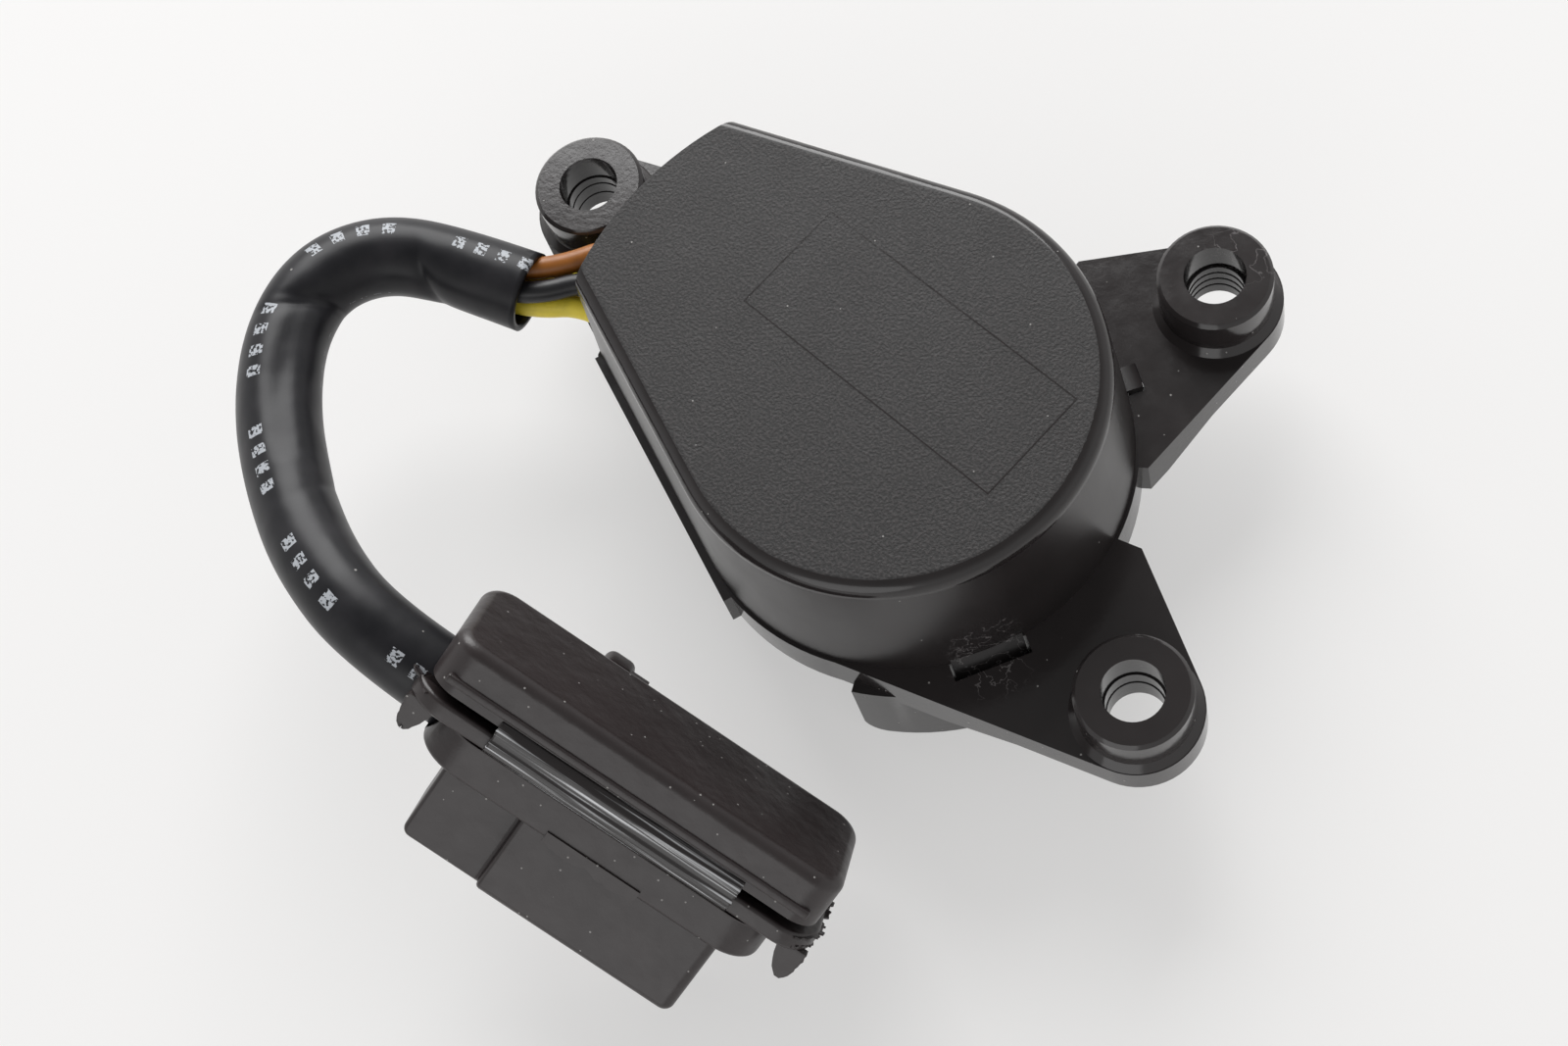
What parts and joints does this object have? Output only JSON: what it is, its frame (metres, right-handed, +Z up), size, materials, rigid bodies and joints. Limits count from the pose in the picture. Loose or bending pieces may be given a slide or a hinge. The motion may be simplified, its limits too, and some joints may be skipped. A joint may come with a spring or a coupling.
{
  "type": "temperature sensor",
  "caption": "Fan-aspirated temperature sensor: drop-shaped housing on a bossed flange, with a sleeved pigtail and a hooded plug.",
  "frame": {"origin": "centre of the air inlet's end face, on the fan axis, where the part stands", "axes": "+Z up along the fan axis towards the cover's top, -X towards the single ear and the cable end"},
  "size_m": [0.0986, 0.0956, 0.0339],
  "materials": {
    "base_plastic": "satin black moulding",
    "cover_plastic": "fine grained charcoal moulding",
    "brass": "turned",
    "bronze": "sintered",
    "steel": "bare steel",
    "copper": "enamelled copper wire",
    "board": "green solder mask",
    "chip": "moulded black",
    "can": "bare can",
    "bead": "dipped resin",
    "tinned": "tinned",
    "wire_brown": "soft insulation",
    "wire_black": "soft insulation",
    "wire_yellow": "soft insulation",
    "wire_pale_yellow": "soft insulation",
    "sleeve": "soft glossy tube",
    "plug_plastic": "matt warm grey moulding",
    "fan_plastic": "plain black moulding",
    "magnet": "sintered ferrite"
  },
  "bodies": {
    "housing": {"base": "base_plastic", "cover": "cover_plastic", "bearing_tube": "brass", "bearing_lower": "bronze", "bearing_upper": "bronze", "stator_core": "steel", "coil_windings": "copper", "circuit_board": "board", "hall_sensor": "chip", "capacitor": "can", "driver_chip": "chip", "thermistor_bead": "bead", "thermistor_leads": "tinned", "wire_brown": "wire_brown", "wire_black": "wire_black", "wire_yellow": "wire_yellow", "wire_pale_yellow": "wire_pale_yellow", "sleeve": "sleeve", "plug_housing": "plug_plastic", "plug_contacts": "tinned", "film_hinge": "plug_plastic"},
    "rotor": {"impeller": "fan_plastic", "rotor_yoke": "steel", "ring_magnet": "magnet", "shaft": "steel", "shaft_clip": "steel"},
    "hood": {"plug_hood": "plug_plastic"}
  },
  "joints": [
    {"name": "fan_spin", "type": "hinge", "parent": "housing", "child": "rotor", "pos_m": [0, 0, 0], "axis": [0, 0, 1], "continuous": true},
    {"name": "hood_hinge", "type": "hinge", "parent": "housing", "child": "hood", "pos_m": [0.00724, -0.04515, 0.02388], "axis": [0.8908, 0.1748, -0.4194], "range_deg": [0, 105]}
  ]
}
